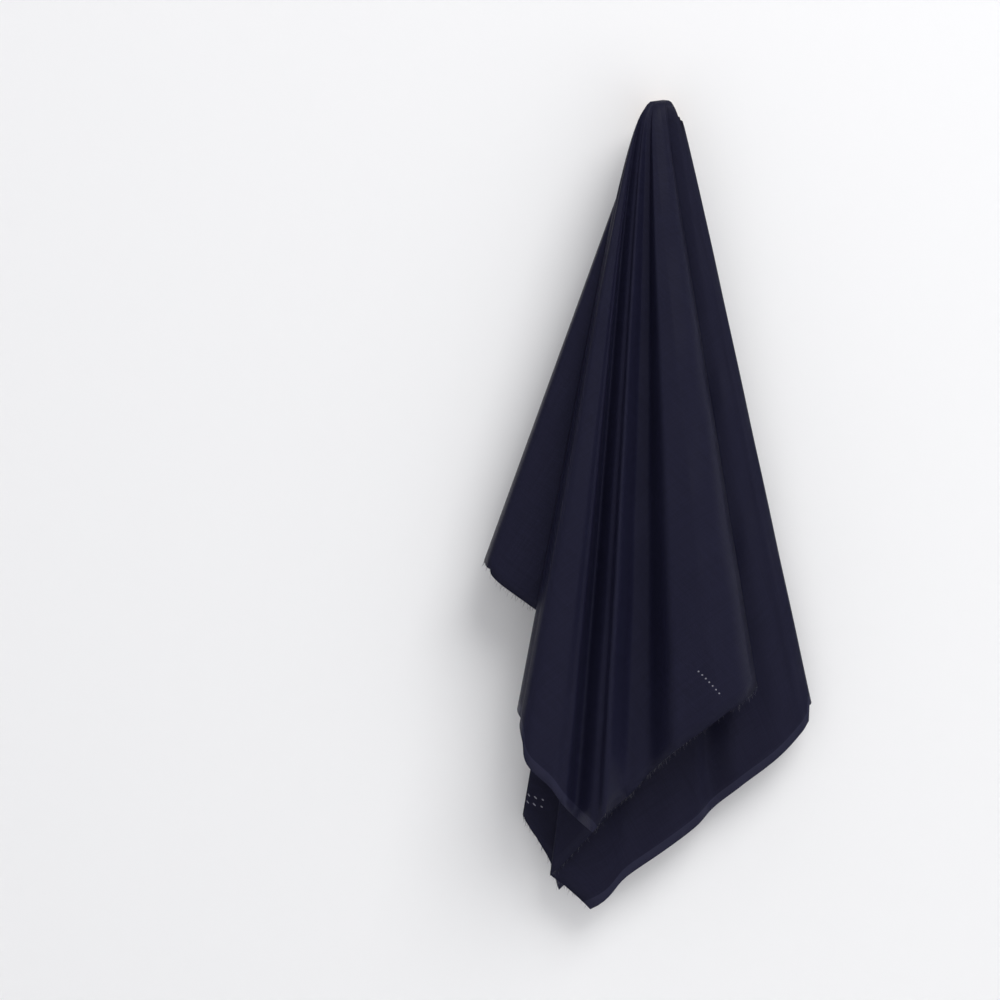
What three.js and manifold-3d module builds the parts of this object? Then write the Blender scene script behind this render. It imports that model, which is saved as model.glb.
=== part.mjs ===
// A cut length of satin lining cloth, hung by its middle on a short wooden wall peg.
// Millimetres, +Z up, +Y into the wall. The origin is the centre of the peg's foot, on the wall's face.

import * as THREE from "three";
import { mergeVertices } from "three/addons/utils/BufferGeometryUtils.js";
import Module from "manifold-3d";

const wasm = await Module();
wasm.setup();

// ---------------------------------------------------------------- driving dimensions

// The flat sheet, and where on it the peg's head sits.
const CUT_LENGTH = 940; // between the two frayed cut ends
const CLOTH_WIDTH = 1100; // between the two selvedges
const PEG_TO_CUT_END = 480; // from the peg to the cut end that hangs in front
const PEG_TO_SELVEDGE = 503; // from the peg to the nearer selvedge

// The folded cloth.
const HANG_Z = 8; // height that the sheet's lengths are counted from, inside the peak
const PEAK_SHOULDER = 13; // how far a fold comes off the peg's head at once
const PEAK_RUN = 10; // length in which it does
const SHOULDER_RUN = 58; // length in which a wider shoulder comes out
const PEAK_WALL = 3; // the gathered layers over the peg's head
const PEAK_REACH = 8; // the gathered layers in front of the peg's end
const STACK_FRONT = -96; // front of the folded layers at the hem
const FRONT_PANEL_BACK = -83; // and where one group of layers ends and the next starts
const UNDER_PANEL_BACK = -67;
const MIDDLE_LAYERS_BACK = -42;
const RIGHT_LAYER_BACK = -32;
const STACK_BACK = -12; // back of the folded layers at the hem
const PEAK_BACK = -28; // back of the gathered layers at the peg
const LAYER_LAP = 2; // how far each group of layers runs into the next
const SPREAD_LENGTH = 640; // length at which the layers have their full depth
const LAYER_START = 5; // where the groups of layers begin, inside the peak
const ROWS = 8; // steps from the peak to the hem
const ROW_CROWDING = 2; // how much closer the steps lie near the peak
const COLUMNS = 3; // steps between two folds

// The wooden peg.
const PEG_LENGTH = 58;
const HEAD_RADIUS = 10;
const HEAD_LENGTH = 22;
const HEAD_ROUND = 6;
const NECK_RADIUS = 6.5;
const FLARE_LENGTH = 12; // length in which the neck swells into the head
const FOOT_RADIUS = 14;
const FOOT_THICKNESS = 6;
const EDGE_ROUND = 1.5;
const FOOT_HOLLOW = 1; // depth of the hollow that clears the wall plug's collar
const FOOT_HOLLOW_MARGIN = 1.1;

// The screw and the wall plug.
const SCREW_CREST = 3;
const SCREW_ROOT = 2.2;
const THREAD_PITCH = 4;
const SCREW_IN_PEG = 28;
const SCREW_IN_WALL = 40;
const SCREW_POINT = 5;
const SCREW_CLEARANCE = 0.3;
const SCREW_SIDES = 16;
const PLUG_RADIUS = 5;
const PLUG_LENGTH = 46;
const PLUG_COLLAR_RADIUS = 6.4;
const PLUG_COLLAR = 1.2;
const PLUG_RECESS = 0.3;
const PLUG_TAPER = 1; // how much slimmer the plug's tip is
const PLUG_TAPER_LENGTH = 3;
const PLUG_SLOT_WIDTH = 1.4;
const PLUG_SLOT_START = 16;

const FIT_GAP = 0.3; // between the cloth and the peg
const ROUND_SIDES = 24;
const OVERCUT = 1; // how far a cutting shape runs past what it cuts
const WELD = 1e-4; // corners nearer than this are one
const TINY = 1e-6;

// ---------------------------------------------------------------- solids

// Turns a closed geometry into a manifold solid.
function solidOf(geometry) {
  const bare = geometry.index ? geometry.toNonIndexed() : geometry.clone();
  bare.deleteAttribute("normal");
  bare.deleteAttribute("uv");
  const merged = mergeVertices(bare, WELD);
  return new wasm.Manifold(
    new wasm.Mesh({
      numProp: 3,
      vertProperties: new Float32Array(merged.attributes.position.array),
      triVerts: new Uint32Array(merged.index.array),
    }),
  );
}

// Turns a manifold solid back into a geometry.
function geometryOf(solid) {
  const mesh = solid.getMesh();
  const geometry = new THREE.BufferGeometry();
  geometry.setAttribute("position", new THREE.BufferAttribute(mesh.vertProperties, 3));
  geometry.setIndex(new THREE.BufferAttribute(mesh.triVerts, 1));
  geometry.computeVertexNormals();
  return geometry;
}

// Turns an outline of [radius, distance from the wall] round the peg's axis, which runs out of the wall.
function turned(outline, sides = ROUND_SIDES) {
  const points = outline.map(([radius, out]) => new THREE.Vector2(radius, out));
  return new THREE.LatheGeometry(points, sides).rotateX(Math.PI);
}

// Points of a quarter round between two ends of an outline, bulging away from the centre.
function quarter(centreRadius, centreOut, round, from, steps = 4) {
  const points = [];
  for (let i = 0; i <= steps; i += 1) {
    const angle = from + ((Math.PI / 2) * i) / steps;
    points.push([centreRadius + round * Math.cos(angle), centreOut + round * Math.sin(angle)]);
  }
  return points;
}

function named(name, geometry, colour, roughness, metalness) {
  const material = new THREE.MeshStandardMaterial({ color: colour, roughness, metalness });
  const mesh = new THREE.Mesh(geometry, material);
  mesh.name = name;
  return mesh;
}

// ---------------------------------------------------------------- screw and plug

// A thread as a row of rings from one distance to another.
function threadOutline(from, to) {
  const turns = Math.floor((to - from) / THREAD_PITCH);
  const points = [];
  for (let i = 0; i < turns; i += 1) {
    points.push([SCREW_ROOT, from + i * THREAD_PITCH]);
    points.push([SCREW_CREST, from + (i + 0.5) * THREAD_PITCH]);
  }
  points.push([SCREW_ROOT, from + turns * THREAD_PITCH]);
  return points;
}

function dowelScrew() {
  const wallEnd = -SCREW_IN_WALL;
  const pegEnd = SCREW_IN_PEG;
  const outline = [
    [0, wallEnd],
    ...threadOutline(wallEnd + SCREW_POINT, pegEnd - SCREW_POINT),
    [0, pegEnd],
  ];
  return turned(outline, SCREW_SIDES);
}

function wallPlug() {
  const bore = SCREW_CREST + SCREW_CLEARANCE;
  const mouth = -PLUG_RECESS;
  const outline = [
    [bore, mouth],
    [bore, mouth - PLUG_LENGTH],
    [PLUG_RADIUS - PLUG_TAPER, mouth - PLUG_LENGTH],
    [PLUG_RADIUS, mouth - PLUG_LENGTH + PLUG_TAPER_LENGTH],
    [PLUG_RADIUS, mouth - PLUG_COLLAR],
    [PLUG_COLLAR_RADIUS, mouth - PLUG_COLLAR],
    [PLUG_COLLAR_RADIUS, mouth],
    [bore, mouth],
  ];
  const slotLength = PLUG_LENGTH - PLUG_SLOT_START + OVERCUT;
  const slotHeight = 2 * (PLUG_RADIUS + OVERCUT);
  const slot = new THREE.BoxGeometry(PLUG_SLOT_WIDTH, slotLength, slotHeight);
  slot.translate(0, PLUG_RECESS + PLUG_SLOT_START + slotLength / 2, 0);
  return geometryOf(solidOf(turned(outline)).subtract(solidOf(slot)));
}

// ---------------------------------------------------------------- peg

// The swell from the neck to the head.
function flare(middle, steps = 4) {
  const points = [];
  for (let i = 0; i <= steps; i += 1) {
    const share = THREE.MathUtils.smoothstep(i, 0, steps);
    const radius = THREE.MathUtils.lerp(NECK_RADIUS, HEAD_RADIUS, share);
    points.push([radius, middle + FLARE_LENGTH * (i / steps - 0.5)]);
  }
  return points;
}

function peg() {
  const bore = SCREW_CREST + SCREW_CLEARANCE;
  const hollow = PLUG_COLLAR_RADIUS + FOOT_HOLLOW_MARGIN;
  const outline = [
    [0, SCREW_IN_PEG + SCREW_CLEARANCE],
    [bore, SCREW_IN_PEG + SCREW_CLEARANCE],
    [bore, FOOT_HOLLOW],
    [hollow, FOOT_HOLLOW],
    [hollow, 0],
    [FOOT_RADIUS, 0],
    ...quarter(FOOT_RADIUS - EDGE_ROUND, FOOT_THICKNESS - EDGE_ROUND, EDGE_ROUND, 0),
    [NECK_RADIUS + EDGE_ROUND, FOOT_THICKNESS],
    [NECK_RADIUS, FOOT_THICKNESS + EDGE_ROUND],
    ...flare(PEG_LENGTH - HEAD_LENGTH),
    ...quarter(HEAD_RADIUS - HEAD_ROUND, PEG_LENGTH - HEAD_ROUND, HEAD_ROUND, 0),
    [0, PEG_LENGTH],
  ];
  return turned(outline);
}

// ---------------------------------------------------------------- cloth

// Length of cloth between the peg and the sheet's edge, in a direction on the flat sheet.
// The direction is counted in degrees from the line to the nearer cut end.
function clothTo(turn) {
  const along = Math.cos(THREE.MathUtils.degToRad(turn));
  const across = Math.sin(THREE.MathUtils.degToRad(turn));
  const toCut = along > 0 ? PEG_TO_CUT_END : CUT_LENGTH - PEG_TO_CUT_END;
  const toSelvedge = across < 0 ? PEG_TO_SELVEDGE : CLOTH_WIDTH - PEG_TO_SELVEDGE;
  const throughCut = toCut / Math.max(Math.abs(along), TINY);
  const throughSelvedge = toSelvedge / Math.max(Math.abs(across), TINY);
  return Math.min(throughCut, throughSelvedge);
}

// Groups of folded layers. Each fold has its direction on the flat sheet, its lean from plumb in
// degrees, and its shoulder, which is how far to the side it comes off the peg's head.
const FRONT_PANEL = {
  front: STACK_FRONT,
  back: FRONT_PANEL_BACK,
  ripple: 4,
  folds: [
    { turn: -58.1, lean: -10.6, shoulder: -29 },
    { turn: -46.3, lean: -4.2, shoulder: -13.5 },
    { turn: -29.5, lean: 9.1, shoulder: 3 },
  ],
};
const UNDER_PANEL = {
  front: FRONT_PANEL_BACK,
  back: UNDER_PANEL_BACK,
  ripple: 0,
  folds: [
    { turn: 264, lean: -7.2, shoulder: -14 },
    { turn: 228.5, lean: -5, shoulder: -8 },
    { turn: 249, lean: 3, shoulder: 0 },
    { turn: 280, lean: 6.5, shoulder: 3 },
  ],
};
const LEFT_WING = {
  front: UNDER_PANEL_BACK,
  back: STACK_BACK,
  ripple: 0,
  folds: [
    { turn: 186, lean: -19.3, shoulder: -13 },
    { turn: 200.4, lean: -12.8, shoulder: -13 },
    { turn: 214, lean: 4, shoulder: 0 },
  ],
};
const MIDDLE_LAYERS = {
  front: UNDER_PANEL_BACK,
  back: MIDDLE_LAYERS_BACK,
  ripple: 0,
  folds: [
    { turn: 14, lean: -8, shoulder: -10 },
    { turn: 45, lean: -5.4, shoulder: -8 },
    { turn: 38, lean: 0, shoulder: 0 },
    { turn: 31, lean: 6, shoulder: 3 },
  ],
};
const RIGHT_LAYER = {
  front: MIDDLE_LAYERS_BACK,
  back: RIGHT_LAYER_BACK,
  ripple: 2,
  folds: [
    { turn: 49.5, lean: -7.2, shoulder: -12 },
    { turn: 51.2, lean: -4.8, shoulder: -5 },
    { turn: 65, lean: 4, shoulder: 8 },
    { turn: 84.8, lean: 12.2, shoulder: 18.5 },
  ],
};
const WALL_LAYERS = {
  front: RIGHT_LAYER_BACK,
  back: STACK_BACK,
  ripple: 0,
  folds: [
    { turn: 132.2, lean: -9.7, shoulder: -13 },
    { turn: 127.6, lean: -6.6, shoulder: -12 },
    { turn: 112, lean: 3, shoulder: 6 },
    { turn: 95, lean: 12, shoulder: 18 },
  ],
};
const GROUPS = [FRONT_PANEL, UNDER_PANEL, LEFT_WING, MIDDLE_LAYERS, RIGHT_LAYER, WALL_LAYERS];

// How far to the side of the peg a point of a fold lies.
function sideways(lean, shoulder, reach) {
  const near = THREE.MathUtils.clamp(shoulder, -PEAK_SHOULDER, PEAK_SHOULDER);
  const far = shoulder - near;
  const off = near * (1 - Math.exp(-reach / PEAK_RUN)) + far * (1 - Math.exp(-reach / SHOULDER_RUN));
  return off + reach * Math.sin(THREE.MathUtils.degToRad(lean));
}

// Depth of a layer: gathered round the peg's head at the top, spread at the hem.
function layerDepth(hemDepth, spread) {
  const share = (hemDepth - STACK_FRONT) / (STACK_BACK - STACK_FRONT);
  const peakFront = -PEG_LENGTH - PEAK_REACH;
  const atPeak = THREE.MathUtils.lerp(peakFront, PEAK_BACK, share);
  return THREE.MathUtils.lerp(atPeak, hemDepth, spread);
}

// A group of layers: a box whose width follows the folds, whose height follows the lengths of cloth,
// and whose thickness is the group's own.
function layers({ front, back, ripple, folds }) {
  const spans = folds.length - 1;
  const box = new THREE.BoxGeometry(1, 1, 1, spans * COLUMNS, 1, ROWS);
  const corners = box.attributes.position;
  for (let i = 0; i < corners.count; i += 1) {
    const across = (corners.getX(i) + 0.5) * spans;
    const fold = Math.min(Math.floor(across), spans - 1);
    const mix = (name) => THREE.MathUtils.lerp(folds[fold][name], folds[fold + 1][name], across - fold);
    const hem = THREE.MathUtils.lerp(clothTo(folds[fold].turn), clothTo(folds[fold + 1].turn), across - fold);
    const down = (0.5 - corners.getZ(i)) ** ROW_CROWDING;
    const reach = THREE.MathUtils.lerp(LAYER_START, hem, down);
    const aside = sideways(mix("lean"), mix("shoulder"), reach);
    const spread = Math.min(reach / SPREAD_LENGTH, 1);
    const wave = ripple * spread * Math.cos(across * Math.PI * 2);
    const hemDepth = corners.getY(i) < 0 ? front : back + LAYER_LAP;
    const height = HANG_Z - Math.sqrt(Math.max(reach * reach - aside * aside, 0));
    corners.setXYZ(i, aside, layerDepth(hemDepth, spread) + wave, height);
  }
  return solidOf(box);
}

// The gathered peak: a rounded cap over the peg's head.
function peak() {
  const radius = HEAD_RADIUS + FIT_GAP + PEAK_WALL;
  const front = PEG_LENGTH + PEAK_REACH;
  const round = radius / 2;
  const outline = [
    [0, -PEAK_BACK],
    [radius, -PEAK_BACK],
    ...quarter(radius - round, front - round, round, 0),
    [0, front],
  ];
  return solidOf(turned(outline));
}

// The hollow that the peg reaches into, open towards the wall.
function pegHollow() {
  const radius = HEAD_RADIUS + FIT_GAP;
  const outline = [
    [0, 0],
    [radius, 0],
    [radius, PEG_LENGTH + FIT_GAP],
    [0, PEG_LENGTH + FIT_GAP],
  ];
  return solidOf(turned(outline));
}

function cloth() {
  const folded = GROUPS.map(layers).reduce((whole, group) => whole.add(group), peak());
  return geometryOf(folded.subtract(pegHollow()));
}

// ---------------------------------------------------------------- the hung length

const hungLength = new THREE.Group();
hungLength.add(
  named("cloth", cloth(), "#23233a", 0.55, 0),
  named("peg", peg(), "#c69c6d", 0.6, 0),
  named("dowel_screw", dowelScrew(), "#b8bcc2", 0.35, 1),
  named("wall_plug", wallPlug(), "#9aa0a6", 0.6, 0),
);

export default hungLength;
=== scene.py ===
"""A cut length of satin lining cloth hung by its middle on a turned wooden wall peg.

The cloth is one flat sheet. It is laid into folds by a plan of the folds, in the order in which they come
round the sheet, and every point keeps its own length of cloth from the peg. Metres throughout.
"""

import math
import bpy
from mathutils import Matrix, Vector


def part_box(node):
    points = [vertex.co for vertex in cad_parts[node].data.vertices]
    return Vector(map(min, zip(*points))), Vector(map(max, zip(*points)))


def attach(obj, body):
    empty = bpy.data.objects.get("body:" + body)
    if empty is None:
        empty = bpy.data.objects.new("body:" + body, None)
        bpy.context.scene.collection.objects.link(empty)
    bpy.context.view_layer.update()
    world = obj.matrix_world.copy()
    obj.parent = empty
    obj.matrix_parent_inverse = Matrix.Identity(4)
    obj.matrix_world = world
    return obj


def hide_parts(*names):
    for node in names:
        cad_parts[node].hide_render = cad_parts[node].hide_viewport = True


bl_info = {
    "name": "Hung Cloth Length",
    "version": (1, 0, 0),
    "blender": (4, 5, 0),
    "location": "View3D > Sidebar > Hung Cloth",
    "description": "Builds a length of lining cloth that hangs in folds from a wall peg",
    "category": "Object",
}

from collections import namedtuple

import bmesh
import bpy
import numpy as np
from bpy.props import FloatProperty, FloatVectorProperty, IntProperty, PointerProperty
from mathutils import Matrix, Vector

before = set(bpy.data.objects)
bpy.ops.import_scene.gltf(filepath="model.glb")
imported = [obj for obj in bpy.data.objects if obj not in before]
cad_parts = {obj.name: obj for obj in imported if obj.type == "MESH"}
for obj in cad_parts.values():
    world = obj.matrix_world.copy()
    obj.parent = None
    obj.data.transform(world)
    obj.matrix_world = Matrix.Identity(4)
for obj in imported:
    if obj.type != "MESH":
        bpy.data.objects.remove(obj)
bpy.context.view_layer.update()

MM = 0.001
# The peg's front end, in millimetres. The wall's face is at zero, and what is nearer the viewer is negative.
PEG_TIP = round(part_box("peg")[0][1] / MM)

# ---------------------------------------------------------------- colours


def linear(hex_colour):
    """A linear RGB colour from an sRGB hex value."""
    value = hex_colour.lstrip("#")
    channels = [int(value[i : i + 2], 16) / 255 for i in (0, 2, 4)]
    return tuple(c / 12.92 if c <= 0.04045 else ((c + 0.055) / 1.055) ** 2.4 for c in channels)


# ---------------------------------------------------------------- settings


class SheetSettings(bpy.types.PropertyGroup):
    """The flat cloth and where on it the peg sits."""

    front_length: FloatProperty(
        name="Peg to front cut end",
        description="Cloth between the peg and the frayed end that hangs in front",
        default=0.480,
        unit="LENGTH",
    )
    back_length: FloatProperty(
        name="Peg to back cut end",
        description="Cloth between the peg and the other frayed end",
        default=0.460,
        unit="LENGTH",
    )
    left_width: FloatProperty(
        name="Peg to left selvedge",
        description="Cloth between the peg and the nearer selvedge",
        default=0.503,
        unit="LENGTH",
    )
    right_width: FloatProperty(
        name="Peg to right selvedge",
        description="Cloth between the peg and the further selvedge",
        default=0.597,
        unit="LENGTH",
    )
    thickness: FloatProperty(
        name="Cloth thickness",
        description="Thickness of the woven cloth",
        default=0.0003,
        unit="LENGTH",
        precision=5,
    )
    rings: IntProperty(
        name="Rings",
        description="Steps of the mesh from the peg to the hem",
        default=66,
    )


class ClothSettings(bpy.types.PropertyGroup):
    """The cloth's colours and surface."""

    yarn_colour: FloatVectorProperty(
        name="Yarn",
        description="Colour of the dyed filament yarn",
        subtype="COLOR",
        default=linear("#121220"),
    )
    float_colour: FloatVectorProperty(
        name="Satin floats",
        description="Colour where the long floats of the satin face catch the light",
        subtype="COLOR",
        default=linear("#1f1f33"),
    )
    thread_pitch: FloatProperty(
        name="Thread pitch",
        description="Distance between the ribs that the weave is drawn with",
        default=0.0011,
        unit="LENGTH",
        precision=5,
    )


class PegSettings(bpy.types.PropertyGroup):
    """The turned peg's colours."""

    wood_light: FloatVectorProperty(
        name="Early wood",
        description="Colour of the pale part of the grain",
        subtype="COLOR",
        default=linear("#d9b483"),
    )
    wood_dark: FloatVectorProperty(
        name="Late wood",
        description="Colour of the dark part of the grain",
        subtype="COLOR",
        default=linear("#b98a58"),
    )


class StageSettings(bpy.types.PropertyGroup):
    """The wall, the floor, the lights and the camera."""

    wall_colour: FloatVectorProperty(
        name="Wall",
        description="Colour of the painted wall",
        subtype="COLOR",
        default=linear("#f0f0f0"),
    )
    key_power: FloatProperty(
        name="Key light",
        description="Power of the large soft light at the right",
        default=135.0,
        subtype="POWER",
    )
    room_light: FloatProperty(
        name="Room light",
        description="Strength of the even light of the room",
        default=0.6,
    )


SETTINGS = {
    "hung_sheet": SheetSettings,
    "hung_cloth": ClothSettings,
    "hung_peg": PegSettings,
    "hung_stage": StageSettings,
}

# ---------------------------------------------------------------- nodes and materials


def add(tree, kind, links=None, **settings):
    """Adds a node, sets its properties, and sets or links its inputs."""
    node = tree.nodes.new(kind)
    for name, value in settings.items():
        setattr(node, name, value)
    for name, value in (links or {}).items():
        if isinstance(value, bpy.types.NodeSocket):
            tree.links.new(value, node.inputs[name])
        else:
            node.inputs[name].default_value = value
    return node


def new_material(name):
    """An empty node material, with its tree and its Principled shader."""
    material = bpy.data.materials.new(name)
    material.use_nodes = True
    tree = material.node_tree
    tree.nodes.clear()
    output = tree.nodes.new("ShaderNodeOutputMaterial")
    shader = tree.nodes.new("ShaderNodeBsdfPrincipled")
    tree.links.new(shader.outputs["BSDF"], output.inputs["Surface"])
    return material, tree, shader


def mixed(tree, share, first, second):
    """A mix of two colours."""
    node = add(tree, "ShaderNodeMix", {0: share, 6: first, 7: second}, data_type="RGBA")
    return node.outputs[2]


def math_of(tree, operation, first, second=0.0):
    """The result of a Math node."""
    return add(tree, "ShaderNodeMath", {0: first, 1: second}, operation=operation).outputs[0]


def satin_lining(name, settings, sheet):
    """Satin lining: fine filament yarn, piece-dyed navy, woven with long warp floats.

    The floats give a soft, broad lustre that turns with the folds, and the bare cloth is nearly black.
    """
    material, tree, shader = new_material(name)
    uv = add(tree, "ShaderNodeUVMap", uv_map="sheet").outputs["UV"]
    split = add(tree, "ShaderNodeSeparateXYZ", {0: uv})
    across, along = split.outputs["X"], split.outputs["Y"]

    # The real threads lie 0.2 mm apart, too fine to show, so the ribs are drawn about 1 mm apart.
    turns = 2 * math.pi / settings.thread_pitch
    warp_rib = math_of(tree, "SINE", math_of(tree, "MULTIPLY", across, turns))
    twill = math_of(tree, "ADD", across, math_of(tree, "MULTIPLY", along, 0.4))
    weft_rib = math_of(tree, "SINE", math_of(tree, "MULTIPLY", twill, turns * 0.61))
    ribs = math_of(tree, "ADD", warp_rib, weft_rib)

    # Slubs: slight differences from yarn to yarn, long along the warp and narrow across it.
    stretched = add(tree, "ShaderNodeVectorMath", {0: uv, 1: (900.0, 14.0, 1.0)}, operation="MULTIPLY")
    slubs = add(tree, "ShaderNodeTexNoise", {"Vector": stretched.outputs[0], "Scale": 1.0, "Detail": 2.0})
    weft_stretch = add(tree, "ShaderNodeVectorMath", {0: uv, 1: (10.0, 700.0, 1.0)}, operation="MULTIPLY")
    picks = add(tree, "ShaderNodeTexNoise", {"Vector": weft_stretch.outputs[0], "Scale": 1.0, "Detail": 2.0})
    handling = add(tree, "ShaderNodeTexNoise", {"Vector": uv, "Scale": 9.0, "Detail": 3.0})

    yarns = math_of(tree, "ADD", slubs.outputs["Fac"], picks.outputs["Fac"])
    shade = math_of(tree, "MULTIPLY", yarns, 0.5)
    base = mixed(tree, shade, (*settings.yarn_colour, 1), (*settings.float_colour, 1))
    # The selvedges are woven tighter, which makes them a little paler.
    from_far_side = math_of(tree, "SUBTRACT", sheet.left_width + sheet.right_width, across)
    inside = math_of(tree, "MINIMUM", across, from_far_side)
    edge = math_of(tree, "MULTIPLY", math_of(tree, "LESS_THAN", inside, SELVEDGE), 0.3)
    edged = mixed(tree, edge, base, (*linear("#3a3a50"), 1))
    colour = pin_marks(tree, across, along, edged)

    soften = add(
        tree,
        "ShaderNodeMapRange",
        {"Value": handling.outputs["Fac"], "From Min": 0.3, "From Max": 0.7, "To Min": 0.40, "To Max": 0.50},
    )
    height = math_of(tree, "ADD", math_of(tree, "MULTIPLY", ribs, 0.5), yarns)
    bump = add(tree, "ShaderNodeBump", {"Strength": 0.12, "Distance": 0.0004, "Height": height})
    tree.links.new(colour, shader.inputs["Base Color"])
    tree.links.new(soften.outputs["Result"], shader.inputs["Roughness"])
    tree.links.new(bump.outputs["Normal"], shader.inputs["Normal"])
    shader.inputs["IOR"].default_value = 1.5
    shader.inputs["Specular IOR Level"].default_value = 0.07
    shader.inputs["Sheen Weight"].default_value = 0.01
    shader.inputs["Sheen Roughness"].default_value = 0.35
    shader.inputs["Sheen Tint"].default_value = (*linear("#8f90b8"), 1)
    return material


# Rows of pin marks: where each lies across the cloth, where it starts and ends along it.
PinRow = namedtuple("PinRow", "across start end")
PIN_PITCH = 0.0043
SELVEDGE = 0.008
PIN_RADIUS = 0.0007
PIN_STRENGTH = 0.42
PIN_ROWS = (PinRow(0.179, 0.896, 0.926), PinRow(1.019, 0.006, 0.026), PinRow(1.024, 0.004, 0.022))


def pin_marks(tree, across, along, base):
    """Short rows of pale pricks that run along the warp near the cut ends."""
    marks = None
    for row in PIN_ROWS:
        side = math_of(tree, "SUBTRACT", across, row.across)
        step = math_of(tree, "MODULO", along, PIN_PITCH)
        ahead = math_of(tree, "SUBTRACT", step, PIN_PITCH / 2)
        square = math_of(tree, "ADD", math_of(tree, "POWER", side, 2.0), math_of(tree, "POWER", ahead, 2.0))
        dot = math_of(tree, "LESS_THAN", square, PIN_RADIUS**2)
        inside = math_of(
            tree,
            "MULTIPLY",
            math_of(tree, "GREATER_THAN", along, row.start),
            math_of(tree, "LESS_THAN", along, row.end),
        )
        mark = math_of(tree, "MULTIPLY", dot, inside)
        marks = mark if marks is None else math_of(tree, "MAXIMUM", marks, mark)
    faint = math_of(tree, "MULTIPLY", marks, PIN_STRENGTH)
    return mixed(tree, faint, base, (*linear("#b9b9c6"), 1))


def loose_yarn(name, settings):
    """The same filament yarn, loose: it has lost the satin's lustre and looks matt and slightly paler."""
    material, tree, shader = new_material(name)
    place = add(tree, "ShaderNodeTexCoord").outputs["Object"]
    chance = add(tree, "ShaderNodeTexNoise", {"Vector": place, "Scale": 400.0, "Detail": 1.0})
    colour = mixed(tree, chance.outputs["Fac"], (*settings.yarn_colour, 1), (*settings.float_colour, 1))
    tree.links.new(colour, shader.inputs["Base Color"])
    shader.inputs["Roughness"].default_value = 0.7
    shader.inputs["Sheen Weight"].default_value = 0.3
    return material


# ---------------------------------------------------------------- the folds

# One turning point of a layer: its direction on the flat sheet in degrees from the line to the front
# cut end, its lean from plumb in degrees, its shoulder, which is how far to the side it comes off the
# peg, and how far it stands behind the layer's own depth. Lengths here are millimetres.
Point = namedtuple("Point", "turn lean shoulder ripple rays")
# A layer of the hung cloth, from one fold to the next, with its depth at the hem.
Layer = namedtuple("Layer", "depth points")

FRONT_CORNER = -46.34
RIGHT_CORNER = 51.2
LEFT_CORNER = 127.6
HIDDEN_CORNER = 227.56


def layer(depth, *points):
    """A layer from rows of turn, lean, shoulder, ripple and, where it shows, rays to the next row."""
    return Layer(depth, [Point(*(row + (0.0, 14)[len(row) - 3 :])) for row in points])


# The layers in the order in which they come round the sheet, from the front panel's left fold.
LAYERS = (
    layer(
        -96,
        (-58.1, -10.7, -29, 14, 6),
        (-56.3, -11.0, -29, 0, 6),
        (-53.8, -10.3, -29, -8, 8),
        (-51.2, -9.2, -29, -10, 6),
        (-49.6, -7.1, -29, -8, 8),
        (-48.2, -5.8, -29, -2, 7),
        (-47.2, -4.7, -28, 16, 7),
        (FRONT_CORNER, -3.8, -21.5, -1, 7),
        (-44.9, -3.1, -18.5, -9, 9),
        (-43.2, -1.5, -12.4, 17, 9),
        (-41.2, 0.0, -9.9, 18, 12),
        (-38.4, 2.8, -9, -10, 12),
        (-35.8, 6.1, -8, -10, 10),
        (-33.6, 8.0, -3, -4, 8),
        (-31.1, 9.1, 3, 6, 1),
    ),
    layer(-58, (-31.1, 9.1, 3), (-12, -7.5, -8)),
    layer(-53, (-12, -7.5, -8), (3, 5.5, 6)),
    layer(-48, (3, 5.5, 6), (18, -7, -8)),
    layer(-44, (18, -7, -8), (33, 5.6, 6)),
    layer(-40, (33, 5.6, 6), (49.5, -7.2, -12)),
    layer(
        -35,
        (49.5, -7.2, -12, 0, 6),
        (RIGHT_CORNER, -4.7, -5, 0, 8),
        (54.6, -2.3, -3, -3, 8),
        (57.4, 0.2, -1, -4, 8),
        (60.6, 2.8, 1.5, 1, 8),
        (62.9, 4.1, 3, 8, 8),
        (66.5, 6.4, 6, -3, 10),
        (71.5, 9.5, 12, -4, 10),
        (77, 11.6, 16, 2, 8),
        (82, 12.5, 18.5, 6, 1),
    ),
    layer(
        -28,
        (82, 12.5, 18.5, 6, 16),
        (106, 2.0, 4, 2, 14),
        (LEFT_CORNER, -6.6, -12, -2, 8),
        (129.6, -7.9, -12, 1, 6),
        (130.9, -9.7, -13, 0, 1),
    ),
    layer(-21, (130.9, -9.7, -13), (156, 8.9, 22)),
    layer(-14, (156, 8.9, 22), (189, -20, -10)),
    layer(
        -63,
        (189, -20, -10, 0, 10),
        (196.6, -18.9, -10, 0, 8),
        (201.3, -14.2, -12, 0, 12),
        (217.5, 4, 6, 0, 1),
    ),
    layer(-66, (217.5, 4, 6), (HIDDEN_CORNER, -5.6, -6), (232, -8, -8)),
    layer(-69, (232, -8, -8), (249, 6.5, 4)),
    layer(-73, (249, 6.5, 4), (264.5, -6.5, -9)),
    layer(-76.5, (264.5, -6.5, -9), (280, 6.8, 4)),
    layer(-80, (280, 6.8, 4), (301.9, -10.7, -29)),
)

# An allowance for the give of the weave, which hangs on its bias under its own weight.
GIVE = 1.022
SHOW_REACH = 500.0
# Over how much cloth the layers spread to their depths, and the ripples grow to their full size.
SPREAD_LENGTH = 640.0
RIPPLE_LENGTH = 430.0
RIPPLE_GROWTH = 0.8
SHOULDER_RUN = 58.0
NEAR_SHOULDER = 13.6
FOLD_RUN = 120.0
FOLD_EARLY = 0.3
RING_CROWDING = 1.45
FOLD_RAYS = 8
# A fold round many layers is flat-sided: it reaches no further in than this.
FLATTEST = 8.0
CORNER_SHARPNESS = 3.4
STEEPEST = 0.985

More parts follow.
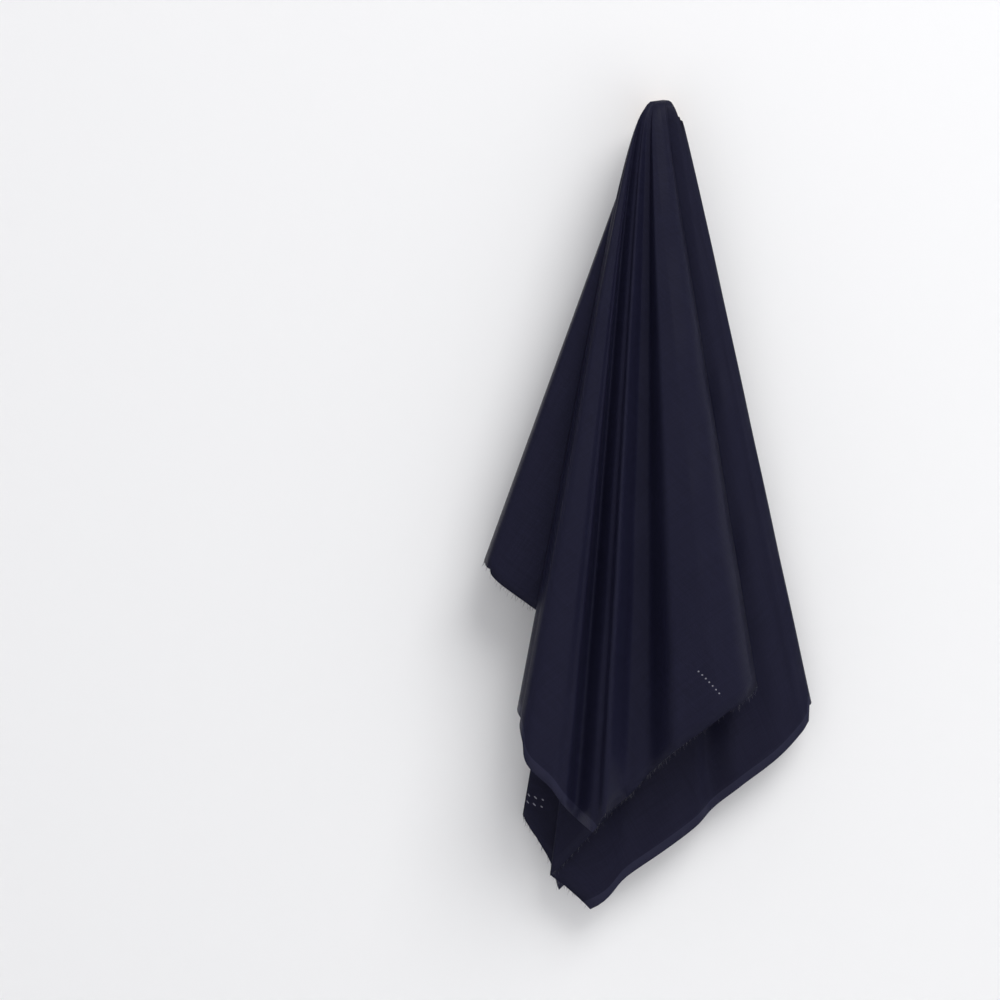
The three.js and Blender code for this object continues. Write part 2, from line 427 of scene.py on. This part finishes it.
# Where the cloth lies over the peg: the sheet's own point, on top of the peg's head.
HANG_POINT = (3.5, PEG_TIP + 8.0, 13.6)
LEAST_LEVEL = 0.5
# The layers leave the peg's tip in front of it, one behind the other.
PEAK_FRONT = PEG_TIP - 10.0
PEAK_STEP = 0.55
# The rearmost layers come over the tip like a hood, and draw back under the peg.
HOOD_DEPTH = PEG_TIP - 1.8
HOOD_SET_FORWARD = 12.0
HOOD_SHARE = 0.8
HOOD_SIDE = 0.82
HOOD_BELOW = 24.0
HOOD_RUN = 26.0
HOODED_FROM = -32.0

Ray = namedtuple("Ray", "turn lean shoulder ripple depth peak tuck hooded index")


def smooth(at, knots, values):
    """A curve through the values that is smooth and overshoots little."""
    knots, values = np.asarray(knots, float), np.asarray(values, float)
    slopes = np.gradient(values, knots) if len(knots) > 2 else np.full(2, np.ptp(values) / np.ptp(knots))
    if len(knots) == 2:
        slopes *= np.sign(values[1] - values[0])
    i = np.clip(np.searchsorted(knots, at, side="right") - 1, 0, len(knots) - 2)
    span = knots[i + 1] - knots[i]
    t = (at - knots[i]) / span
    start = (1 + 2 * t) * (1 - t) ** 2 * values[i] + t * (1 - t) ** 2 * span * slopes[i]
    end = t * t * (3 - 2 * t) * values[i + 1] + t * t * (t - 1) * span * slopes[i + 1]
    return start + end


def swing(at, knots, values):
    """A wave that turns level at each of the values."""
    i = np.clip(np.searchsorted(knots, at, side="right") - 1, 0, len(knots) - 2)
    t = (at - np.take(knots, i)) / (np.take(knots, i + 1) - np.take(knots, i))
    t = t * t * (3 - 2 * t)
    return np.take(values, i) * (1 - t) + np.take(values, i + 1) * t


def fold_between(first, second):
    """The radius of the fold from one layer to the next, and half the sheet's turn that it takes."""
    radius = abs(second.depth - first.depth) / 2
    return radius, math.degrees(math.pi / 2 * radius / SHOW_REACH)


def peak_depth(index):
    """Depth of a layer where it leaves the peg: the layers in their order, front to back."""
    order = sorted(range(len(LAYERS)), key=lambda i: LAYERS[i].depth)
    return PEAK_FRONT + PEAK_STEP * order.index(index)


def planned(layer_here, turn):
    """Lean, shoulder and ripple of a layer in one direction on the sheet."""
    knots = [p.turn for p in layer_here.points]
    lean = smooth(turn, knots, [p.lean for p in layer_here.points])
    shoulder = smooth(turn, knots, [p.shoulder for p in layer_here.points])
    return lean, shoulder, swing(turn, knots, [p.ripple for p in layer_here.points])


def rays_of_layer(index):
    """The rays of one layer, and those of the fold at its far end."""
    here, after = LAYERS[index], LAYERS[(index + 1) % len(LAYERS)]
    start_radius, start_half = fold_between(LAYERS[index - 1], here)
    end_radius, end_half = fold_between(here, after)
    side = 1 if here.points[-1].lean > here.points[0].lean else -1
    first, last = here.points[0].turn + start_half, here.points[-1].turn - end_half
    turns = []
    for a, b in zip(here.points, here.points[1:]):
        turns += list(np.linspace(a.turn, b.turn, a.rays, endpoint=False))
    turns = [first, *[t for t in turns if first < t < last], last]
    peak, next_peak = peak_depth(index), peak_depth((index + 1) % len(LAYERS))
    rays = []
    for turn in turns:
        share = (turn - first) / (last - first)
        tuck = side * ((1 - share) * min(start_radius, FLATTEST) - share * min(end_radius, FLATTEST))
        rays.append(Ray(turn, *planned(here, turn), here.depth, peak, tuck, here.depth > HOODED_FROM, index))
    for step in range(1, FOLD_RAYS):
        angle = math.pi * step / FOLD_RAYS
        share = (1 - math.cos(angle)) / 2
        turn = last + 2 * end_half * step / FOLD_RAYS
        past = step > FOLD_RAYS / 2
        plan = planned(after, turn - turn_over(index)) if past else planned(here, turn)
        depth = here.depth + (after.depth - here.depth) * share
        tuck = -side * min(end_radius, FLATTEST) * (1 - math.sin(angle))
        hooded = max(here.depth, after.depth) > HOODED_FROM
        owner = (index + past) % len(LAYERS)
        rays.append(Ray(turn, *plan, depth, peak + (next_peak - peak) * share, tuck, hooded, owner))
    return rays


def turn_over(index):
    """A whole turn after the last layer, where the sheet's directions start again."""
    return 360 if index == len(LAYERS) - 1 else 0


def cloth_to(turn, sheet):
    """Length of cloth from the peg to the sheet's edge in each direction on the flat sheet."""
    along, across = np.cos(np.radians(turn)), np.sin(np.radians(turn))
    to_cut = np.where(along > 0, sheet.front_length, sheet.back_length) / MM
    to_selvedge = np.where(across < 0, sheet.left_width, sheet.right_width) / MM
    tiny = 1e-9
    return np.minimum(to_cut / np.maximum(abs(along), tiny), to_selvedge / np.maximum(abs(across), tiny))


def soft_min(reach, limit):
    """The reach, which levels off at the limit."""
    limit = np.maximum(limit, LEAST_LEVEL)
    power = CORNER_SHARPNESS
    return reach * limit / (reach**power + limit**power) ** (1 / power)


# Waves of unevenness: their lengths across and along the cloth, where they start, and their sizes.
Wave = namedtuple("Wave", "across along phase size")
WAVES = (Wave(93, 160, 0.4, 0.7), Wave(61, 240, 2.1, 0.8), Wave(37, 118, 4.4, 0.35), Wave(148, 75, 1.3, 0.35))
WAVES_FULL = 300


def crumple(x, reach):
    """Small chance unevenness, which the layers share, in millimetres."""
    total = 0
    for wave in WAVES:
        total = total + wave.size * np.sin((x / wave.across + reach / wave.along) * 2 * math.pi + wave.phase)
    return total * np.clip(reach / WAVES_FULL, 0, 1)


# The layers behind a rippled one follow its ripples, each less than the one before it.
FOLLOWERS = {0: {15: 0.95, 14: 0.76, 13: 0.56, 12: 0.34, 11: 0.16}, 6: {7: 1.0, 8: 0.7, 9: 0.4}}


def nested(x, reach, rippled, index):
    """How far each layer is pushed back by the ripples of the one that it lies behind, at the same reach."""
    pushed = np.zeros_like(x)
    for leader, followers in FOLLOWERS.items():
        leads = np.flatnonzero(index == leader)
        for ray in np.flatnonzero(np.isin(index, list(followers))):
            at = reach[:, ray]
            side = np.array([np.interp(at, reach[:, lead], x[:, lead]) for lead in leads])
            back = np.array([np.interp(at, reach[:, lead], rippled[:, lead]) for lead in leads])
            for ring in range(1, len(x)):
                order = np.argsort(side[:, ring])
                push = np.interp(x[ring, ray], side[order, ring], back[order, ring])
                pushed[ring, ray] = push * followers[int(index[ray])]
    return pushed


def hang(rays, sheet):
    """Places of the cloth's points as rings by rays, in millimetres, and their places on the flat sheet."""
    turn, lean, shoulder, ripple, depth, peak, tuck, hooded, index = (np.array(c, float) for c in zip(*rays))
    length = cloth_to(turn, sheet)
    share = (np.arange(sheet.rings + 1) / sheet.rings)[:, None] ** RING_CROWDING
    reach = share * length * GIVE
    near = np.clip(shoulder, -NEAR_SHOULDER, NEAR_SHOULDER)
    side = np.clip((abs(near) / NEAR_SHOULDER - HOOD_SIDE) / (1 - HOOD_SIDE), 0, 1)
    hood = HOOD_DEPTH + (np.maximum(depth - HOOD_SET_FORWARD, HOOD_DEPTH) * HOOD_SHARE - HOOD_DEPTH) * side
    at_peak = np.where(hooded > 0, hood, peak)
    forward = at_peak - HANG_POINT[1]
    sideways = near - HANG_POINT[0]
    level = np.hypot(sideways, forward)
    gone = soft_min(reach, level) / np.maximum(level, LEAST_LEVEL)
    far = (shoulder - near) * (1 - np.exp(-reach / SHOULDER_RUN))
    after = np.maximum(reach - level, 0)
    spread = np.minimum(after / SPREAD_LENGTH, 1)
    spread_fold = np.clip(after / FOLD_RUN, 0, 1) * FOLD_EARLY + spread * (1 - FOLD_EARLY)
    x = HANG_POINT[0] + sideways * gone + far + after * np.sin(np.radians(lean)) + tuck * spread_fold
    back = np.clip((reach - HOOD_BELOW) / HOOD_RUN, 0, 1)
    back = back * back * (3 - 2 * back) * (hooded > 0)
    settled = at_peak + (np.where(hooded > 0, peak, at_peak) - at_peak) * back
    y = HANG_POINT[1] + (settled - HANG_POINT[1]) * gone + (depth - settled) * spread
    rippled = ripple * np.clip(after / RIPPLE_LENGTH, 0, 1) ** RIPPLE_GROWTH
    y = y + rippled + nested(x, reach, rippled, index) + crumple(x, reach)
    x[0], y[0] = HANG_POINT[0], HANG_POINT[1]

    steps = np.diff(reach, axis=0)
    dx, dy = np.diff(x, axis=0), np.diff(y, axis=0)
    too_far = np.maximum(np.hypot(dx, dy) / (STEEPEST * steps), 1)
    dx, dy = dx / too_far, dy / too_far
    dz = -np.sqrt(np.maximum(steps**2 - dx**2 - dy**2, 0))
    zero = np.zeros((1, len(rays)))
    start = [np.vstack([zero, np.cumsum(d, axis=0)]) for d in (dx, dy, dz)]
    places = np.stack([s + h for s, h in zip(start, HANG_POINT)], axis=-1)
    flat = np.stack(
        [
            sheet.left_width + reach / GIVE * MM * np.sin(np.radians(turn)),
            sheet.back_length + reach / GIVE * MM * np.cos(np.radians(turn)),
        ],
        axis=-1,
    )
    return places * MM, flat


def build_cloth_mesh(name, places, flat):
    """A mesh from the rings of points, closed round the sheet and to one point at the peg."""
    rings, count = places.shape[0] - 1, places.shape[1]
    mesh = bmesh.new()
    layer_uv = mesh.loops.layers.uv.new("sheet")
    top = mesh.verts.new(places[0, 0])
    grid = [[mesh.verts.new(p) for p in row] for row in places[1:]]
    spots = {top: flat[0, 0]}
    for row, spot_row in zip(grid, flat[1:]):
        spots.update(zip(row, spot_row))
    for i in range(count):
        j = (i + 1) % count
        mesh.faces.new((top, grid[0][i], grid[0][j]))
        for ring in range(rings - 1):
            above, below = grid[ring], grid[ring + 1]
            mesh.faces.new((above[i], below[i], below[j], above[j]))
    bmesh.ops.recalc_face_normals(mesh, faces=mesh.faces)
    for face in mesh.faces:
        face.smooth = True
        for loop in face.loops:
            loop[layer_uv].uv = spots[loop.vert]
    return finish_mesh(mesh, name)


def finish_mesh(mesh, name):
    """Turns mesh work into an object in the scene, at the origin."""
    data = bpy.data.meshes.new(name)
    mesh.to_mesh(data)
    mesh.free()
    piece = bpy.data.objects.new(name, data)
    bpy.context.scene.collection.objects.link(piece)
    return piece


# ---------------------------------------------------------------- frayed ends

YARN_STEP = 0.0014
YARN_SIDES = 3
YARN_PARTS = 2
YARN_TAPER = 0.6
YARN_ROOT = 0.0006
YARN_SHORTEST = 0.0015
YARN_LONGER = 0.0055
YARN_RADIUS = 0.00011
YARN_THICKER = 0.00006
YARN_BEND = 0.45
YARN_SEED = 7
HEM_RINGS = 3
ON_THE_EDGE = 1e-6


def frayed_yarns(name, places, flat, sheet):
    """Short loose yarns along both cut ends, where the weave has opened."""
    chance = np.random.default_rng(YARN_SEED)
    ends = places[-1]
    outward = places[-1] - places[-1 - HEM_RINGS]
    outward = outward / np.linalg.norm(outward, axis=1)[:, None]
    mesh = bmesh.new()
    count = len(ends)
    for i in range(count):
        j = (i + 1) % count
        if not (sheet_is_cut(flat[-1, i], sheet) and sheet_is_cut(flat[-1, j], sheet)):
            continue
        # Each tuft is made by itself and then added, which is much quicker than one large mesh.
        tuft = bmesh.new()
        for _ in range(chance.poisson(np.linalg.norm(ends[j] - ends[i]) / YARN_STEP)):
            t = chance.random()
            root = ends[i] * (1 - t) + ends[j] * t - outward[i] * YARN_ROOT
            add_yarn(tuft, root, outward[i] * (1 - t) + outward[j] * t, chance)
        data = bpy.data.meshes.new("tuft")
        tuft.to_mesh(data)
        tuft.free()
        mesh.from_mesh(data)
        bpy.data.meshes.remove(data)
    return finish_mesh(mesh, name)


def sheet_is_cut(spot, sheet):
    """True on the two cut ends of the flat sheet."""
    return min(spot[1], sheet.front_length + sheet.back_length - spot[1]) < ON_THE_EDGE


def add_yarn(mesh, root, outward, chance):
    """One loose yarn: a thin cone that bends a little more in each of its two parts."""
    length = YARN_SHORTEST + YARN_LONGER * chance.random() ** 2
    radius = YARN_RADIUS + YARN_THICKER * chance.random()
    bend = chance.normal(0, YARN_BEND, 3)
    start = Vector(root)
    for part in range(YARN_PARTS):
        way = Vector(outward + bend * (part + 0.5) / YARN_PARTS).normalized()
        step = length / YARN_PARTS
        turned = way.to_track_quat("Z", "Y").to_matrix().to_4x4()
        widths = [radius * (1 - YARN_TAPER * (part + end) / YARN_PARTS) for end in (0, 1)]
        bmesh.ops.create_cone(
            mesh,
            cap_ends=True,
            segments=YARN_SIDES,
            radius1=widths[0],
            radius2=widths[1],
            depth=step,
            matrix=Matrix.Translation(start + way * step / 2) @ turned,
        )
        start = start + way * step


# ---------------------------------------------------------------- the peg's finishes


def oiled_beech(name, settings):
    """Beech, turned on a lathe and oiled: straight pale grain along the peg, with short dark flecks."""
    material, tree, shader = new_material(name)
    place = add(tree, "ShaderNodeTexCoord").outputs["Object"]
    # Growth rings lie about 2 mm apart, and they run nearly along the peg's axis.
    tilt = add(tree, "ShaderNodeMapping", {"Vector": place, "Rotation": (0.05, 0.0, 0.08)})
    grain = add(
        tree, "ShaderNodeVectorMath", {0: tilt.outputs[0], 1: (520.0, 24.0, 130.0)}, operation="MULTIPLY"
    )
    rings = add(tree, "ShaderNodeTexNoise", {"Vector": grain.outputs[0], "Scale": 1.0, "Detail": 4.0})
    fleck_grain = add(
        tree, "ShaderNodeVectorMath", {0: tilt.outputs[0], 1: (2600.0, 260.0, 2600.0)}, operation="MULTIPLY"
    )
    flecks = add(tree, "ShaderNodeTexNoise", {"Vector": fleck_grain.outputs[0], "Scale": 1.0, "Detail": 1.0})
    fleck = add(
        tree,
        "ShaderNodeMapRange",
        {"Value": flecks.outputs["Fac"], "From Min": 0.62, "From Max": 0.7, "To Min": 0.0, "To Max": 0.55},
    )
    shade = math_of(tree, "MAXIMUM", rings.outputs["Fac"], fleck.outputs["Result"])
    colour = mixed(tree, shade, (*settings.wood_light, 1), (*settings.wood_dark, 1))
    gloss = add(
        tree,
        "ShaderNodeMapRange",
        {"Value": rings.outputs["Fac"], "From Min": 0.3, "From Max": 0.7, "To Min": 0.42, "To Max": 0.58},
    )
    bump = add(tree, "ShaderNodeBump", {"Strength": 0.15, "Distance": 0.0002, "Height": rings.outputs["Fac"]})
    tree.links.new(colour, shader.inputs["Base Color"])
    tree.links.new(gloss.outputs["Result"], shader.inputs["Roughness"])
    tree.links.new(bump.outputs["Normal"], shader.inputs["Normal"])
    shader.inputs["IOR"].default_value = 1.5
    return material


def zinc_plated_steel(name):
    """Steel, thread-rolled and bright zinc plated: a cool, slightly cloudy metal shine."""
    material, tree, shader = new_material(name)
    place = add(tree, "ShaderNodeTexCoord").outputs["Object"]
    clouds = add(tree, "ShaderNodeTexNoise", {"Vector": place, "Scale": 350.0, "Detail": 3.0})
    colour = mixed(tree, clouds.outputs["Fac"], (*linear("#c9ccd0"), 1), (*linear("#a9adb4"), 1))
    haze = add(
        tree,
        "ShaderNodeMapRange",
        {"Value": clouds.outputs["Fac"], "From Min": 0.3, "From Max": 0.7, "To Min": 0.24, "To Max": 0.4},
    )
    tree.links.new(colour, shader.inputs["Base Color"])
    tree.links.new(haze.outputs["Result"], shader.inputs["Roughness"])
    shader.inputs["Metallic"].default_value = 1.0
    return material


def moulded_nylon(name):
    """Grey nylon, injection moulded: an even, slightly waxy plastic with a faint matt texture."""
    material, tree, shader = new_material(name)
    place = add(tree, "ShaderNodeTexCoord").outputs["Object"]
    # The mould's spark-eroded grain is about 0.3 mm across.
    pits = add(tree, "ShaderNodeTexNoise", {"Vector": place, "Scale": 3000.0, "Detail": 1.0})
    colour = mixed(tree, pits.outputs["Fac"], (*linear("#8f959c"), 1), (*linear("#9ba1a8"), 1))
    bump = add(tree, "ShaderNodeBump", {"Strength": 0.2, "Distance": 0.0001, "Height": pits.outputs["Fac"]})
    tree.links.new(colour, shader.inputs["Base Color"])
    tree.links.new(bump.outputs["Normal"], shader.inputs["Normal"])
    shader.inputs["Roughness"].default_value = 0.5
    shader.inputs["IOR"].default_value = 1.53
    return material


# ---------------------------------------------------------------- wall, floor, light and camera

STAGE_SIZE = 7.0
WALL_FACE = 0.0
FLOOR_HEIGHT = -1.25
KEY_SIZE = (3.0, 2.6)
KEY_PLACE = (1.7, -3.0, 2.9)
KEY_AIM = (0.0, 0.0, -0.3)
CAMERA_LENS = 113.7
CAMERA_PLACE = (-0.152, -3.055, -0.367)


def painted_wall(name, colour):
    """Wall emulsion, rolled on: even and matt, with a faint stipple from the roller.

    The wall's back is clear, so that the cloth can be seen from behind.
    """
    material, tree, shader = new_material(name)
    place = add(tree, "ShaderNodeTexCoord").outputs["Object"]
    # The roller's stipple is about 3 mm across.
    stipple = add(tree, "ShaderNodeTexNoise", {"Vector": place, "Scale": 300.0, "Detail": 3.0})
    bump = add(
        tree, "ShaderNodeBump", {"Strength": 0.06, "Distance": 0.0005, "Height": stipple.outputs["Fac"]}
    )
    tree.links.new(bump.outputs["Normal"], shader.inputs["Normal"])
    shader.inputs["Base Color"].default_value = (*colour, 1)
    shader.inputs["Roughness"].default_value = 0.9
    clear = add(tree, "ShaderNodeBsdfTransparent")
    behind = add(tree, "ShaderNodeNewGeometry").outputs["Backfacing"]
    both = add(tree, "ShaderNodeMixShader", {0: behind, 1: shader.outputs["BSDF"], 2: clear.outputs["BSDF"]})
    output = next(node for node in tree.nodes if node.type == "OUTPUT_MATERIAL")
    tree.links.new(both.outputs["Shader"], output.inputs["Surface"])
    return material


def plane(name, size, matrix, material):
    """A flat square of the stage, with its place in its mesh."""
    mesh = bmesh.new()
    bmesh.ops.create_grid(mesh, x_segments=1, y_segments=1, size=size / 2, matrix=matrix)
    piece = finish_mesh(mesh, name)
    piece.data.materials.append(material)
    return piece


# ---------------------------------------------------------------- operators


class HUNG_OT_cloth(bpy.types.Operator):
    """Build the cloth in its folds, with the frayed yarns of its cut ends"""

    bl_idname = "hung.cloth"
    bl_label = "Hung Cloth"

    def execute(self, context):
        sheet = context.scene.hung_sheet
        rays = [ray for index in range(len(LAYERS)) for ray in rays_of_layer(index)]
        places, flat = hang(rays, sheet)
        satin = satin_lining("satin_lining", context.scene.hung_cloth, sheet)
        cloth = build_cloth_mesh("lining_cloth", places, flat)
        cloth.data.materials.append(satin)
        solid = cloth.modifiers.new("thickness", "SOLIDIFY")
        solid.thickness = sheet.thickness
        solid.offset = 0.0

        yarns = frayed_yarns("frayed_yarns", places, flat, sheet)
        yarns.data.materials.append(loose_yarn("loose_yarn", context.scene.hung_cloth))
        for piece in (cloth, yarns):
            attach(piece, "cloth")
        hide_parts("cloth")
        return {"FINISHED"}


class HUNG_OT_peg(bpy.types.Operator):
    """Finish the peg, its screw and its wall plug"""

    bl_idname = "hung.peg"
    bl_label = "Peg and Fixing"

    def execute(self, context):
        finishes = {
            "peg": oiled_beech("oiled_beech", context.scene.hung_peg),
            "dowel_screw": zinc_plated_steel("zinc_plated_steel"),
            "wall_plug": moulded_nylon("moulded_nylon"),
        }
        for node, finish in finishes.items():
            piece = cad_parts[node]
            piece.data.materials.clear()
            piece.data.materials.append(finish)
        return {"FINISHED"}


class HUNG_OT_stage(bpy.types.Operator):
    """Set up the wall, the floor, the lights and the camera"""

    bl_idname = "hung.stage"
    bl_label = "Stage"

    def execute(self, context):
        settings = context.scene.hung_stage
        scene = context.scene
        scene.view_settings.view_transform = "Standard"
        paint = painted_wall("wall_emulsion", tuple(settings.wall_colour))
        upright = Matrix.Translation((0, WALL_FACE, 0)) @ Matrix.Rotation(math.pi / 2, 4, "X")
        wall = plane("wall", STAGE_SIZE, upright, paint)
        floor = plane("floor", STAGE_SIZE, Matrix.Translation((0, 0, FLOOR_HEIGHT)), paint)

        key = bpy.data.lights.new("key", "AREA")
        key.shape = "RECTANGLE"
        key.size, key.size_y = KEY_SIZE
        key.energy = settings.key_power
        key_lamp = bpy.data.objects.new("key", key)
        key_lamp.location = KEY_PLACE
        key_lamp.rotation_euler = (Vector(KEY_AIM) - Vector(KEY_PLACE)).to_track_quat("-Z", "Y").to_euler()
        scene.collection.objects.link(key_lamp)

        world = bpy.data.worlds.new("room")
        world.use_nodes = True
        world.node_tree.nodes["Background"].inputs["Color"].default_value = (*linear("#fbfbff"), 1)
        world.node_tree.nodes["Background"].inputs["Strength"].default_value = settings.room_light
        scene.world = world

        lens = bpy.data.cameras.new("camera")
        lens.lens = CAMERA_LENS
        camera = bpy.data.objects.new("camera", lens)
        camera.location = CAMERA_PLACE
        camera.rotation_euler = (math.pi / 2, 0, 0)
        scene.collection.objects.link(camera)
        scene.camera = camera
        return {"FINISHED"}


class HUNG_PT_panel(bpy.types.Panel):
    """Lists the pieces of the hung cloth and their settings"""

    bl_idname = "HUNG_PT_panel"
    bl_label = "Hung Cloth"
    bl_space_type = "VIEW_3D"
    bl_region_type = "UI"
    bl_category = "Hung Cloth"

    def draw(self, context):
        layout = self.layout
        for operator in OPERATORS:
            layout.operator(operator.bl_idname)
        for name, group in SETTINGS.items():
            box = layout.box()
            settings = getattr(context.scene, name)
            for setting in group.__annotations__:
                box.prop(settings, setting)


OPERATORS = (HUNG_OT_cloth, HUNG_OT_peg, HUNG_OT_stage)
CLASSES = (*SETTINGS.values(), *OPERATORS, HUNG_PT_panel)


def register():
    for cls in CLASSES:
        bpy.utils.register_class(cls)
    for name, group in SETTINGS.items():
        setattr(bpy.types.Scene, name, PointerProperty(type=group))


def unregister():
    for name in SETTINGS:
        delattr(bpy.types.Scene, name)
    for cls in reversed(CLASSES):
        bpy.utils.unregister_class(cls)


def main():
    register()
    bpy.ops.hung.cloth()
    bpy.ops.hung.peg()
    bpy.ops.hung.stage()


if __name__ == "__main__":
    main()
